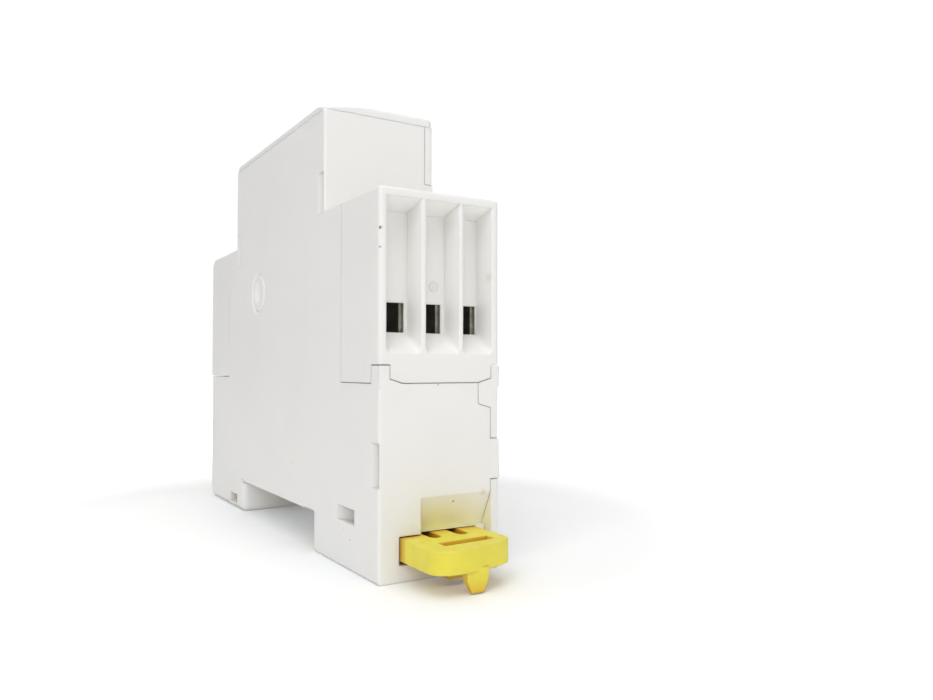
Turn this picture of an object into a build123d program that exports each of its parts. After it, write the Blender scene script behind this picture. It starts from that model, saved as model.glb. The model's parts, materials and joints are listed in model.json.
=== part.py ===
from build123d import *
import math
import os

# One-module modular circuit breaker, one STEP file per piece.
# X is the module width (left is -X), Y runs from the near end (rail clip) to the far
# end, Z from the rail to the front.  Origin: centre of the rail seat.

os.makedirs("parts", exist_ok=True)

# ---------------------------------------------------------------- shared dimensions
MODULE_W = 18.0
X_LEFT, X_RIGHT = -MODULE_W / 2, MODULE_W / 2
Y_NEAR, Y_FAR = -40.1, 41.85            # end faces
Z_BACK = -5.6                           # underside of the two feet
Z_SHOULDER = 44.2                       # tops of the terminal blocks
Z_FRONT = 59.0                          # top of the shell's raised front
CAP_TOP = Z_FRONT + 1.5
RAISED_Y0, RAISED_Y1 = -21.6, 23.4      # raised front
SLOT_Y = 18.15                          # half width of the rail slot
WALL = 1.2
X_COVER = 7.6                           # seam between shell and cover
NEAR_SEAM_Y, NEAR_SEAM_Z = -28.05, 19.3  # seams of the terminal blocks
FAR_SEAM_Y, FAR_SEAM_Z = 28.25, 19.5
SEAM_GAP = 0.06

POLES = (-5.5, 0.1, 5.7)                # terminal centres
BAYS = ((-7.93, -3.02), (-2.27, 2.72), (3.36, 7.87))   # x ranges of the wire bays
BAY_DEPTH = 4.0
ENTRY_W, ENTRY_Z0, ENTRY_Z1 = 4.0, 25.95, 29.87        # wire openings
SNAP_TABS = ((-3.6, -2.0), (2.2, 3.8))  # x ranges
CAGE_W, CAGE_LEN, CAGE_T = 4.4, 6.9, 0.6
CAGE_Z0, CAGE_Z1 = 25.2, 34.6
NEAR_CAGE_Y, FAR_CAGE_Y = -35.4, 30.25  # near-side end of each cage
BAR_W, BAR_Z0, BAR_Z1 = 2.8, 30.2, 31.4
NEAR_BAR_Y, FAR_BAR_Y = -34.3, 36.1     # bar ends inside the cages
SCREW_R, HEAD_R = 1.45, 1.95
HEAD_Z0, HEAD_Z1 = 39.0, 41.2
NEAR_SCREW_Y, FAR_SCREW_Y = -31.45, 33.2

# pivot axes, all along X, as (y, z)
TOGGLE_Y, TOGGLE_Z = TOGGLE = (1.0, 52.0)
TOGGLE_TILT = math.radians(38.0)        # rest angle of the lever from +Z towards +Y
CRANK = 3.0                             # toggle axis to link
CARRIER_Y, CARRIER_Z = CARRIER = (-6.0, 36.0)
CARRIER_ARM = 11.45
CARRIER_LEAN = math.radians(9.28)       # from +Z towards -Y
TRIP = (-13.0, 33.0)
TOGGLE_PIN_R, CARRIER_SHAFT_R, TRIP_PIN_R = 1.0, 1.25, 0.8
BORE_FIT = 0.02                         # radial clearance in the housing bores
PIN_X0 = -7.9                           # left end of the three pins
SHAFT_X1 = 8.1

MAGNET = (-2.9, 27.0)                   # x, z of the magnet axis, along Y
CALIBRATION = (-0.9, 20.9)              # x, z of the calibration screw, along Y

TOGGLE_OPENING = (-5.2, 5.2, -8.6, 10.6)  # x and y ranges, through shell and cap


# ---------------------------------------------------------------- helpers
def box(x0, x1, y0, y1, z0, z1):
    return Pos((x0 + x1) / 2, (y0 + y1) / 2, (z0 + z1) / 2) * Box(x1 - x0, y1 - y0, z1 - z0)


def cyl_x(radius, x0, x1, y, z):
    return Pos((x0 + x1) / 2, y, z) * Rot(0, 90, 0) * Cylinder(radius, x1 - x0)


def cyl_y(radius, y0, y1, x, z):
    return Pos(x, (y0 + y1) / 2, z) * Rot(90, 0, 0) * Cylinder(radius, y1 - y0)


def cyl_z(radius, z0, z1, x, y):
    return Pos(x, y, (z0 + z1) / 2) * Cylinder(radius, z1 - z0)


def prism_x(points, x0, x1):
    """Points are (y, z)."""
    face = Plane.YZ.offset(x0) * make_face(Polyline(*points, close=True))
    return extrude(face, amount=x1 - x0, dir=(1, 0, 0))


def prism_y(points, y0, y1):
    """Points are (x, z)."""
    face = Plane.XZ.offset(-y0) * make_face(Polyline(*points, close=True))
    return extrude(face, amount=y1 - y0, dir=(0, 1, 0))


def prism_z(points, z0, z1):
    """Points are (x, y)."""
    face = Plane.XY.offset(z0) * make_face(Polyline(*points, close=True))
    return extrude(face, amount=z1 - z0, dir=(0, 0, 1))


def rod(start, end, radius):
    start, end = Vector(*start), Vector(*end)
    run = end - start
    return extrude(Plane(origin=start, z_dir=run) * Circle(radius), amount=run.length)


def sweep_wire(path, radius):
    return sweep(Plane(origin=path @ 0, z_dir=path % 0) * Circle(radius), path=path)


def coil_x(x0, turns, pitch, radius, wire, y, z):
    """Helical winding about an axis along X."""
    path = Helix(pitch=pitch, height=turns * pitch, radius=radius)
    return Pos(x0, y, z) * Rot(0, 90, 0) * sweep_wire(path, wire)


def spring_y(y0, y1, radius, wire, turns, x, z):
    """Spring along Y that fits between y0 and y1."""
    length = (y1 - y0) - 2 * wire
    path = Helix(pitch=length / turns, height=length, radius=radius)
    return Pos(x, y0 + wire, z) * Rot(-90, 0, 0) * sweep_wire(path, wire)


def soften(shape, pick, radius):
    """Fillet the picked edges."""
    edges = [edge for edge in shape.edges() if pick(edge)]
    for size in (radius, radius * 0.7, radius * 0.45):
        # guards against a radius the kernel can't build: a smaller one is tried,
        # and in the end the edges stay sharp
        try:
            out = fillet(edges, size)
            if out.is_valid:
                return out
        except Exception:
            pass
    return shape


def close(a, b):
    return abs(a - b) < 1e-3


def on(edge, axis, value):
    """Both ends of the edge have this coordinate."""
    return close(getattr(edge @ 0, axis), value) and close(getattr(edge @ 1, axis), value)


def along(edge, axis):
    run = (edge @ 1) - (edge @ 0)
    return run.length > 1e-6 and abs(abs(getattr(run, axis)) - run.length) < 1e-4


def save(name, *shapes):
    solids = [solid for shape in shapes for solid in shape.solids()]
    out = solids[0] if len(solids) == 1 else Compound(children=solids)
    export_step(out, f"parts/{name}.step")


# ---------------------------------------------------------------- housing, shared
# side outline (y, z)
OUTLINE = [
    (Y_NEAR, Z_BACK), (-SLOT_Y, Z_BACK), (-SLOT_Y, 0), (SLOT_Y, 0), (SLOT_Y, Z_BACK),
    (Y_FAR, Z_BACK), (Y_FAR, FAR_SEAM_Z), (FAR_SEAM_Y, FAR_SEAM_Z),
    (FAR_SEAM_Y, Z_SHOULDER), (RAISED_Y1, Z_SHOULDER), (RAISED_Y1, Z_FRONT),
    (RAISED_Y0, Z_FRONT), (RAISED_Y0, Z_SHOULDER), (NEAR_SEAM_Y, Z_SHOULDER),
    (NEAR_SEAM_Y, NEAR_SEAM_Z), (Y_NEAR, NEAR_SEAM_Z)]
PEGS = ((-23.4, 5.0), (24.4, 5.0), (-17.0, 54.2), (18.8, 54.2))   # cover pegs (y, z)
# fingers of the shell that reach through the cover: y0, y1, z0, z1
FINGERS = ((Y_NEAR, -37.9, 6.4, 11.8), (39.65, Y_FAR, 3.8, 10.15),
           (RAISED_Y0, -19.1, 46.4, 49.9), (20.8, RAISED_Y1, 46.4, 49.9))
CORNER_TAB_Y, CORNER_TAB_Z = -37.83, 21.6   # tabs beside the near block
LEFT_TAB_X, RIGHT_TAB_X = -7.49, 7.73
RETAINER_NOTCH_Y = 20.4


def middle(edge):
    return ((edge @ 0) + (edge @ 1)) * 0.5


def side_edge(edge, x):
    """Silhouette edge on a side face that is neither a block seam nor the front."""
    if not on(edge, "X", x):
        return False
    mid = middle(edge)
    return not (close(mid.Y, NEAR_SEAM_Y) or close(mid.Y, FAR_SEAM_Y)
                or close(mid.Z, NEAR_SEAM_Z) or close(mid.Z, FAR_SEAM_Z)
                or close(mid.Z, Z_FRONT))


def back_corner(y):
    return lambda edge: (along(edge, "X") and close(middle(edge).Y, y)
                         and close(middle(edge).Z, Z_BACK))


def outline_body(x0, x1):
    """Side outline with the two corners of the far foot rounded."""
    body = prism_x(OUTLINE, x0, x1)
    body = soften(body, back_corner(Y_FAR), 1.8)
    return soften(body, back_corner(SLOT_Y), 0.9)


def relieve_slot(body):
    """Round relief in the slot's far corner, then a shallow one above the clip jaw."""
    body -= cyl_x(0.55, -10, 10, 18.45, 0.1)
    return body - box(-10, 10, -SLOT_Y - 0.0005, -14.2, -0.001, 0.3)


# ---------------------------------------------------------------- left shell
shell = outline_body(X_LEFT, X_COVER)
shell = soften(shell, lambda edge: along(edge, "Z") and on(edge, "X", X_LEFT)
               and on(edge, "Y", SLOT_Y) and (edge @ 0.5).Z < 0, 1.2)
shell = soften(shell, lambda edge: side_edge(edge, X_LEFT)
               and not (along(edge, "Z") and on(edge, "Y", SLOT_Y)), 0.4)

INNER_X = (X_LEFT + WALL, 8.5)
shell -= (box(*INNER_X, Y_NEAR + WALL, 0, WALL, NEAR_SEAM_Z - WALL)
          + box(*INNER_X, 0, Y_FAR - WALL, WALL, FAR_SEAM_Z - WALL)
          + box(*INNER_X, NEAR_SEAM_Y + WALL, FAR_SEAM_Y - WALL, WALL, Z_SHOULDER - WALL)
          + box(*INNER_X, RAISED_Y0 + WALL, RAISED_Y1 - WALL, 30, Z_FRONT - 1.0))

# bosses and bores for the cover's pegs and the three pins
BOSS_X0 = X_LEFT + 1.0
for peg in PEGS:
    shell += cyl_x(2.2, BOSS_X0, 7.4, *peg)
shell += cyl_x(2.7, BOSS_X0, -6.7, *CARRIER)
shell += cyl_x(2.3, BOSS_X0, -5.2, *TOGGLE)
shell += cyl_x(1.8, BOSS_X0, -7.15, *TRIP)
for peg in PEGS:
    shell -= cyl_x(1.05, 3.4, 8.0, *peg)
shell -= cyl_x(CARRIER_SHAFT_R + BORE_FIT, -8.0, -6.0, *CARRIER)
shell -= cyl_x(TOGGLE_PIN_R + BORE_FIT, -8.0, -5.0, *TOGGLE)
shell -= cyl_x(TRIP_PIN_R + BORE_FIT, -8.0, -6.0, *TRIP)

# thicker near end wall around the sloped finger recess
shell += box(-4.4, X_COVER, Y_NEAR + 1.0, -36.7, 1.0, 6.0)
shell -= prism_x([(Y_NEAR - 1, 6.85), (Y_NEAR - 1, 0.12), (-37.9, 0.12)], -3.0, 8.0)
# clip channel through the near foot, its wider mouth and two side pockets
shell -= box(-6.1, 6.1, -42, -17, -3.45, 0.05)
shell -= box(-6.1, 8.0, Y_NEAR - 1, -38.7, -3.49, 0.12)
for x0, x1 in ((-6.55, -6.0), (6.0, 6.55)):
    shell -= box(x0, x1, -36.2, -28.3, -2.6, -0.5)
# channel for the far retainer, its side rib and its nose
shell -= box(-6.1, 6.1, RETAINER_NOTCH_Y, 43, -3.45, -0.5)
shell -= box(-7.6, -5.9, RETAINER_NOTCH_Y, 43, -4.6, -2.85)
shell -= box(-2.3, 2.3, 17, 21, -3.45, -1.35)
shell = relieve_slot(shell)
shell -= box(-2.7, 2.7, 15.9, SLOT_Y + 0.3, -0.001, 0.3)   # relief above the nose

# wedge slot low in the left wall, with a thickening behind it
shell += box(BOSS_X0, -5.7, -34.2, -25.8, 1.0, 3.8)
shell -= prism_z([(X_LEFT - 1, -32.8), (X_LEFT + 2.15, -32.8), (X_LEFT, -27.1),
                  (X_LEFT - 1, -27.1)], 0.6, 2.6)
shell -= box(-10, -7.55, 21.9, 26.5, -4.55, -2.9)   # window in the far foot
# shallow wedge slots, deepest at y0: y0, y1, z0, z1, depth
LEFT_SLOTS = ((-39.93, -37.86, 6.3, 11.9, 0.95), (-21.27, -19.09, 43.8, 49.9, 0.7),
              (20.8, 22.4, 40.8, 46.5, 0.5), (39.7, 41.6, 3.8, 10.15, 0.6))
for y0, y1, z0, z1, depth in LEFT_SLOTS:
    shell -= prism_z([(X_LEFT - 1, y0), (X_LEFT + depth, y0), (X_LEFT, y1),
                      (X_LEFT - 1, y1)], z0, z1)
# round plug mark on the left face: a ring groove around a dished centre
PLUG = (9.6, 34.6)
RING_D, DISH_D = 0.28, 0.48
shell -= Pos(X_LEFT + RING_D / 2, *PLUG) * Rot(0, 90, 0) * (
    Cone(3.95, 3.45, RING_D) - Cone(2.95, 3.2, RING_D))
shell -= Pos(X_LEFT + DISH_D / 2, *PLUG) * Rot(0, 90, 0) * Cone(2.3, 1.1, DISH_D)

# openings in the front for the toggle and the cap's legs
shell -= box(*TOGGLE_OPENING, 57, 60)
for y0, y1 in ((-15.8, -14.4), (16.2, 17.6)):
    shell -= box(-3.1, 3.1, y0, y1, 57, 60)
# slots for the bars and sockets for the snap tabs, in both inner end walls
NEAR_WALL = (NEAR_SEAM_Y - 0.5, NEAR_SEAM_Y + WALL + 0.1)
FAR_WALL = (FAR_SEAM_Y - WALL - 0.1, FAR_SEAM_Y + 0.5)
for x in POLES:
    for wall in (NEAR_WALL, FAR_WALL):
        shell -= box(x - 1.5, x + 1.5, *wall, BAR_Z0 - 0.1, BAR_Z1 + 0.1)
for x0, x1 in SNAP_TABS:
    for wall in (NEAR_WALL, FAR_WALL):
        shell -= box(x0 - 0.1, x1 + 0.1, *wall, 21.8, 24.4)
# corner tab beside the near block and the sloped left end of its seam
shell += box(X_LEFT, LEFT_TAB_X, Y_NEAR, CORNER_TAB_Y, NEAR_SEAM_Z - 0.5, CORNER_TAB_Z)
shell += prism_y([(-7.55, 19.2), (-5.7, 19.2), (-5.7, NEAR_SEAM_Z), (-7.55, 19.88)],
                 Y_NEAR, Y_NEAR + WALL)
# right-hand seam: the cover reaches in here, the shell's fingers reach out
shell -= prism_y([(5.64, 20.5), (5.64, 16.48), (7.6, 15.93), (7.6, 20.5)],
                 Y_NEAR - 1, Y_NEAR + WALL + 0.01)
for finger in FINGERS:
    shell += box(7.0, X_RIGHT, *finger)
save("left_shell", shell)

# ---------------------------------------------------------------- right cover
COVER_REACH = X_COVER + 0.3             # pegs and bosses overlap the cover plate
cover = outline_body(X_COVER + SEAM_GAP, X_RIGHT)
cover = soften(cover, lambda edge: side_edge(edge, X_RIGHT), 0.4)
cover = relieve_slot(cover)
cover += box(RIGHT_TAB_X, X_RIGHT, Y_NEAR, CORNER_TAB_Y, NEAR_SEAM_Z - 0.5, CORNER_TAB_Z)
cover += prism_y([(5.64 + SEAM_GAP, NEAR_SEAM_Z), (5.64 + SEAM_GAP, 16.52), (7.7, 15.97),
                  (7.8, NEAR_SEAM_Z), (7.8, 19.9)], Y_NEAR, Y_NEAR + WALL)
for y0, y1, z0, z1 in FINGERS:
    cover -= box(7.0, 10.0, y0 - 0.1, y1 + 0.1, z0 - 0.08, z1 + 0.08)
for peg in PEGS:
    cover += cyl_x(1.0, 3.9, COVER_REACH, *peg)
cover += cyl_x(2.6, 7.15, COVER_REACH, *CARRIER)
cover += cyl_x(2.2, 6.7, COVER_REACH, *TOGGLE)
cover -= cyl_x(CARRIER_SHAFT_R + BORE_FIT, 6.0, 8.2, *CARRIER)
cover -= cyl_x(TOGGLE_PIN_R + BORE_FIT, 6.0, 8.2, *TOGGLE)
save("right_cover", cover)


# ---------------------------------------------------------------- terminal blocks
def terminal_block(near):
    """Built at the near end; the far one is then mirrored in Y."""
    if near:
        y_face, y_inner = Y_NEAR, NEAR_SEAM_Y - SEAM_GAP
        z0, screw_y = NEAR_SEAM_Z + 0.08, NEAR_SCREW_Y
    else:
        y_face, y_inner = -Y_FAR, -FAR_SEAM_Y - SEAM_GAP
        z0, screw_y = FAR_SEAM_Z + 0.12, -FAR_SCREW_Y
    body = box(X_LEFT, X_RIGHT, y_face, y_inner, z0, Z_SHOULDER)
    if near:
        body = soften(body, lambda edge: on(edge, "Y", y_face) and not on(edge, "Z", z0), 0.55)
    else:
        body = soften(body, lambda edge: along(edge, "X") and on(edge, "Y", y_face)
                      and on(edge, "Z", Z_SHOULDER), 2.2)
        body = soften(body, lambda edge: along(edge, "Z") and on(edge, "Y", y_face), 0.55)
    body = soften(body, lambda edge: along(edge, "Y") and on(edge, "Z", Z_SHOULDER)
                  and (on(edge, "X", X_LEFT) or on(edge, "X", X_RIGHT)), 0.4)

    # wire bays with sloping floor and roof
    y_bay = y_face + BAY_DEPTH
    for x0, x1 in BAYS:
        bay = prism_x([(y_face - 1, 43.35), (y_bay, 41.85), (y_bay, ENTRY_Z0),
                       (y_face - 1, 22.325)], x0, x1)
        bay = soften(bay, lambda edge: (on(edge, "X", x0) or on(edge, "X", x1))
                     and (edge @ 0).Z < 30 and (edge @ 1).Z < 30
                     and abs((edge @ 0).Y - (edge @ 1).Y) > 2, 0.7)
        body -= bay
    body = soften(body, lambda edge: on(edge, "Y", y_face) and abs((edge @ 0.5).X) < 8.0
                  and 22.8 < (edge @ 0.5).Z < 24.2
                  and (edge @ 0).Z < 24.5 and (edge @ 1).Z < 24.5, 0.35)

    for x in POLES:
        body -= box(x - ENTRY_W / 2, x + ENTRY_W / 2, y_bay - 0.5, y_bay + 0.8,
                    ENTRY_Z0, ENTRY_Z1)
        # cage pocket, open to the inside
        body -= box(x - 2.3, x + 2.3, y_bay + 0.6, y_inner + 1, CAGE_Z0 - 0.15, 38.85)
        # head pocket and driver hole with its countersink
        body -= cyl_z(HEAD_R + 0.1, 38.0, 42.4, x, screw_y)
        body -= cyl_z(1.75, 42.0, 45.0, x, screw_y)
        body -= Pos(x, screw_y, Z_SHOULDER - 0.3) * Cone(1.7, 2.3, 0.6)
    # lightening pockets below the cages
    for x in POLES:
        body -= box(x - 2.0, x + 2.0, y_face + 1.6, y_inner - 1.4, z0 + 1.2, 21.9)

    if near:
        # clearance around the housing's corner tabs and sloped seam ends
        for x0, x1 in ((X_LEFT - 1, LEFT_TAB_X + SEAM_GAP),
                       (RIGHT_TAB_X - SEAM_GAP, X_RIGHT + 1)):
            body -= box(x0, x1, y_face - 1, CORNER_TAB_Y + SEAM_GAP,
                        z0 - 1, CORNER_TAB_Z + 0.12)
        for x_out, x_in, z_out in ((-7.6, -5.6, 19.99), (7.86, 5.6, 20.02)):
            body -= prism_y([(x_out, 19.0), (x_in, 19.0), (x_in, z0), (x_out, z_out)],
                            y_face - 1, y_face + 1.3)
    for x0, x1 in SNAP_TABS:
        # tongue through the inner wall, with a low step on top
        body += box(x0, x1, y_inner - 0.5, y_inner + WALL + SEAM_GAP + 0.5, 22.0, 23.1)
        body += box(x0, x1, y_inner - 0.5, y_inner + 0.9, 23.0, 23.4)
    return body


# the near block has a small ring mark with a centre dot in its middle bay
near_block = terminal_block(True)
MARK = (0.92, 32.22)
mark_y = Y_NEAR + BAY_DEPTH
near_block -= (cyl_y(0.72, mark_y - 0.5, mark_y + 0.08, *MARK)
               - cyl_y(0.5, mark_y - 0.6, mark_y + 0.2, *MARK))
near_block -= cyl_y(0.14, mark_y - 0.5, mark_y + 0.1, *MARK)
save("near_terminal_block", near_block)
save("far_terminal_block", mirror(terminal_block(False), about=Plane.XZ))


# ---------------------------------------------------------------- terminals
def cage(x, y0, screw_y):
    y1 = y0 + CAGE_LEN
    half = CAGE_W / 2
    body = box(x - half, x + half, y0, y1, CAGE_Z0, CAGE_Z1)
    body -= box(x - half + CAGE_T, x + half - CAGE_T, y0 - 1, y1 + 1,
                CAGE_Z0 + 0.7, CAGE_Z1 - 1.2)
    body = soften(body, lambda edge: along(edge, "Y")
                  and close(abs((edge @ 0).X - x), half), 0.3)
    body -= cyl_z(SCREW_R + 0.05, CAGE_Z1 - 2, CAGE_Z1 + 1, x, screw_y)
    # wire grip ribs on the cage floor
    for k in range(3):
        y = y0 + 1.6 + k * 1.3
        body += prism_x([(y - 0.25, CAGE_Z0 + 0.65), (y + 0.25, CAGE_Z0 + 0.65),
                         (y, CAGE_Z0 + 0.95)], x - 1.5, x + 1.5)
    return body


def screw(x, y):
    body = cyl_z(SCREW_R, BAR_Z1 + 0.03, HEAD_Z0 + 0.2, x, y)
    # tapered tip
    body -= (cyl_z(3, BAR_Z1, BAR_Z1 + 0.4, x, y)
             - Pos(x, y, BAR_Z1 + 0.215) * Cone(1.1, SCREW_R + 0.01, 0.4))
    head = cyl_z(HEAD_R, HEAD_Z0, HEAD_Z1, x, y)
    body += soften(head, lambda edge: on(edge, "Z", HEAD_Z1), 0.3)
    # straight slot, then the deeper cross: half sizes in x and y, depth
    for half_x, half_y, depth in ((3, 0.35, 1.0), (1.15, 0.35, 1.4), (0.35, 1.15, 1.4)):
        body -= box(x - half_x, x + half_x, y - half_y, y + half_y,
                    HEAD_Z1 - depth, HEAD_Z1 + 1)
    return body


for i, x in enumerate(POLES, 1):
    for end, cage_y, screw_y in (("near", NEAR_CAGE_Y, NEAR_SCREW_Y),
                                 ("far", FAR_CAGE_Y, FAR_SCREW_Y)):
        save(f"{end}_cage_{i}", cage(x, cage_y, screw_y))
        save(f"{end}_terminal_screw_{i}", screw(x, screw_y))

# ---------------------------------------------------------------- front cap
cap = box(X_LEFT, X_RIGHT, RAISED_Y0, RAISED_Y1, Z_FRONT + 0.03, CAP_TOP)
cap = soften(cap, lambda edge: along(edge, "Z") and on(edge, "X", X_RIGHT)
             and on(edge, "Y", RAISED_Y0), 0.8)
cap = soften(cap, lambda edge: on(edge, "Z", CAP_TOP) and (edge @ 0.5).X > X_RIGHT - 0.9
             and (edge @ 0.5).Y < 20, 0.7)
cap = soften(cap, lambda edge: along(edge, "X") and on(edge, "Z", CAP_TOP)
             and on(edge, "Y", RAISED_Y1), 0.9)
cap = soften(cap, lambda edge: on(edge, "Z", CAP_TOP) and on(edge, "X", X_LEFT), 1.2)
# near left corner falls away on a large cylinder, tangent to the top along a diagonal
CORNER_R = 17.0
start, end = Vector(X_LEFT, -13.6, 0), Vector(4.5, RAISED_Y0, 0)
diagonal = (end - start).normalized()
centre = (start + end) * 0.5
axis_point = centre + Vector(0, 0, CAP_TOP - CORNER_R)
# the corner lies on the -Y side of this plane
corner_plane = Plane(origin=Vector(centre.X, centre.Y, Z_FRONT), x_dir=diagonal,
                     z_dir=(0, 0, 1))
cap -= (corner_plane * Pos(0, -10, 1.5) * Box(60, 20, 4.4)
        - rod(tuple(axis_point - diagonal * 40), tuple(axis_point + diagonal * 40), CORNER_R))
cap -= box(*TOGGLE_OPENING, 58, 62)
cap = soften(cap, lambda edge: on(edge, "Z", CAP_TOP)
             and abs((edge @ 0).X) < 5.3 and abs((edge @ 1).X) < 5.3
             and -8.7 < (edge @ 0).Y < 10.7 and -8.7 < (edge @ 1).Y < 10.7, 0.3)
# legs with outward hooks
for y0, y1, side in ((-15.7, -14.5, -1), (16.3, 17.5, 1)):
    cap += box(-3.0, 3.0, y0, y1, 56.9, Z_FRONT + 0.5)
    y = y0 if side < 0 else y1
    cap += prism_x([(y, 56.9), (y + side * 0.5, 57.4), (y + side * 0.5, 57.9), (y, 57.9)],
                   -3.0, 3.0)
save("front_cap", cap)


# ---------------------------------------------------------------- toggle
def sector(r0, r1, angle0, angle1, x0, x1):
    """Ring sector about the toggle axis, degrees from +Z towards +Y."""
    points = [TOGGLE]
    steps = max(4, int(abs(angle1 - angle0) / 6))
    for k in range(steps + 1):
        angle = math.radians(angle0 + (angle1 - angle0) * k / steps)
        points.append((TOGGLE_Y + 30 * math.sin(angle), TOGGLE_Z + 30 * math.cos(angle)))
    wedge = prism_x(points, x0, x1)
    ring = cyl_x(r1, x0, x1, *TOGGLE)
    if r0 > 0:
        ring -= cyl_x(r0, x0 - 1, x1 + 1, *TOGGLE)
    return ring & wedge


# link ends (y, z): on the toggle's crank, opposite the lever, and on the carrier's arm
CRANK_Y, CRANK_Z = CRANK_END = (TOGGLE_Y - CRANK * math.sin(TOGGLE_TILT),
                                TOGGLE_Z - CRANK * math.cos(TOGGLE_TILT))
ARM_Y, ARM_Z = ARM_END = (CARRIER_Y - CARRIER_ARM * math.sin(CARRIER_LEAN),
                          CARRIER_Z + CARRIER_ARM * math.cos(CARRIER_LEAN))

toggle = cyl_x(1.9, -5.0, 3.6, *TOGGLE)
toggle += sector(8.25, 9.5, -72, 93, -5.0, 5.0)
toggle += sector(0, 8.5, -66, 88, -1.0, 1.0)
toggle += sector(0, 8.5, -15, 88, 2.2, 3.4)
toggle += cyl_x(1.25, -4.6, -3.0, *CRANK_END)
toggle += prism_x([(TOGGLE_Y - 1.4, TOGGLE_Z + 0.8), (TOGGLE_Y + 1.4, TOGGLE_Z - 0.8),
                   (CRANK_Y + 1.0, CRANK_Z - 0.7), (CRANK_Y - 1.1, CRANK_Z + 0.6)], -4.6, -3.0)
# lever, drawn upright about the axis, with four grip grooves
LEVER_X = 4.2
lever = prism_x([(-2.6, 8.4), (2.6, 8.4), (1.7, 13.1), (1.0, 14.0), (-1.0, 14.0),
                 (-1.7, 13.1)], -LEVER_X, LEVER_X)
lever = soften(lever, lambda edge: along(edge, "X") and (edge @ 0).Z > 13, 0.5)
lever = soften(lever, lambda edge: (on(edge, "X", -LEVER_X) or on(edge, "X", LEVER_X))
               and min((edge @ 0).Z, (edge @ 1).Z) > 8.5, 0.45)
for k in range(4):
    lever -= cyl_x(0.28, -3.4, 3.4, -2.25 + 0.19 * k, 9.9 + 0.95 * k)
toggle += Pos(0, *TOGGLE) * Rot(-math.degrees(TOGGLE_TILT), 0, 0) * lever
toggle -= cyl_x(TOGGLE_PIN_R + 0.05, -6, 6, *TOGGLE)
toggle -= cyl_x(0.56, -5, -2, *CRANK_END)
# notch in the skirt that clears the carrier's upper arm
toggle -= sector(7.0, 10.5, -85, -20, -4.15, -2.45)
save("toggle", toggle)


def shaft(radius, axis):
    return soften(cyl_x(radius, PIN_X0, SHAFT_X1, *axis), lambda edge: True, 0.2)


save("toggle_pin", shaft(TOGGLE_PIN_R, TOGGLE))
save("toggle_spring", coil_x(4.1, 3, 0.75, 1.75, 0.27, *TOGGLE))

# link wire between toggle and carrier
LINK_X, LINK_R = -1.85, 0.5
link = rod((LINK_X, *CRANK_END), (LINK_X, *ARM_END), LINK_R)
link += cyl_x(LINK_R, -4.9, LINK_X, *CRANK_END) + cyl_x(LINK_R, -4.4, LINK_X, *ARM_END)
link += Pos(LINK_X, *CRANK_END) * Sphere(LINK_R) + Pos(LINK_X, *ARM_END) * Sphere(LINK_R)
save("drive_link", link)

# ---------------------------------------------------------------- contact carrier
ARM_PIN = (-3.9, 31.6)                  # y, z of the moving arms' pins
PHASE_SPRING, NEUTRAL_SPRING = (0.0, 29.0), (5.1, 29.0)   # x, z
# hooked latch on the hub (y, z)
LATCH = [(-9.1, 37.4), (-8.2, 34.6), (-9.6, 34.2), (-11.2, 39.2), (-10.6, 42.0),
         (-9.4, 42.0), (-9.9, 39.4)]

carrier = cyl_x(3.0, -6.5, 1.9, *CARRIER) + cyl_x(2.6, 1.5, 7.0, *CARRIER)
# upper arm: half width offsets across its leaning axis
across_y = 1.35 * math.cos(CARRIER_LEAN)
across_z = 1.35 * math.sin(CARRIER_LEAN)
arm = prism_x([(CARRIER_Y - across_y, CARRIER_Z - across_z),
               (CARRIER_Y + across_y, CARRIER_Z + across_z),
               (ARM_Y + across_y, ARM_Z + across_z),
               (ARM_Y - across_y, ARM_Z - across_z)], -3.95, -2.75)
arm += cyl_x(1.6, -3.95, -2.75, *ARM_END)
carrier += arm
for x0, x1 in ((-2.3, 1.9), (3.2, 7.0)):
    carrier += box(x0, x1, -8.0, -2.2, 26.5, 35.0)
# lobe under the auxiliary blade
lobe_y = CARRIER_Y + 5.2 * math.sin(math.radians(-35))
lobe_z = CARRIER_Z + 5.2 * math.cos(math.radians(-35))
carrier += prism_x([(CARRIER_Y - 2.2, CARRIER_Z), (CARRIER_Y + 1.2, CARRIER_Z + 2.0),
                    (lobe_y + 0.7, lobe_z), (lobe_y - 0.7, lobe_z - 0.6)], 5.2, 6.6)
# slot for the link, long axis along the arm
slot = (box(-5, -2, -0.65, 0.65, -1.25, 0.1) + cyl_x(0.65, -5, -2, 0, 0.1)
        + cyl_x(0.65, -5, -2, 0, -1.25))
carrier -= Pos(0, *ARM_END) * Rot(math.degrees(CARRIER_LEAN), 0, 0) * slot
carrier -= cyl_x(CARRIER_SHAFT_R + 0.05, -7, 8, *CARRIER)
# pockets for the moving arms, their springs and pins
for x0, x1, spring in ((-1.45, 1.45, PHASE_SPRING), (3.75, 6.45, NEUTRAL_SPRING)):
    carrier -= box(x0, x1, -4.65, -2.0, 26.0, 33.3)
    carrier -= cyl_y(1.25, -7.4, -4.5, *spring)
    carrier -= cyl_x(0.62, x0 - 0.7, x1 + 0.35, *ARM_PIN)
carrier -= prism_x(LATCH, -5.62, -4.58)
save("contact_carrier", carrier)
save("carrier_shaft", shaft(CARRIER_SHAFT_R, CARRIER))
save("trip_latch", prism_x(LATCH, -5.6, -4.6))

# ---------------------------------------------------------------- moving contacts
ARM_Y0, ARM_Y1 = -4.6, -3.2
TIP_T = 0.8
NEUTRAL_ARM_X = (3.8, 6.4)


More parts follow.
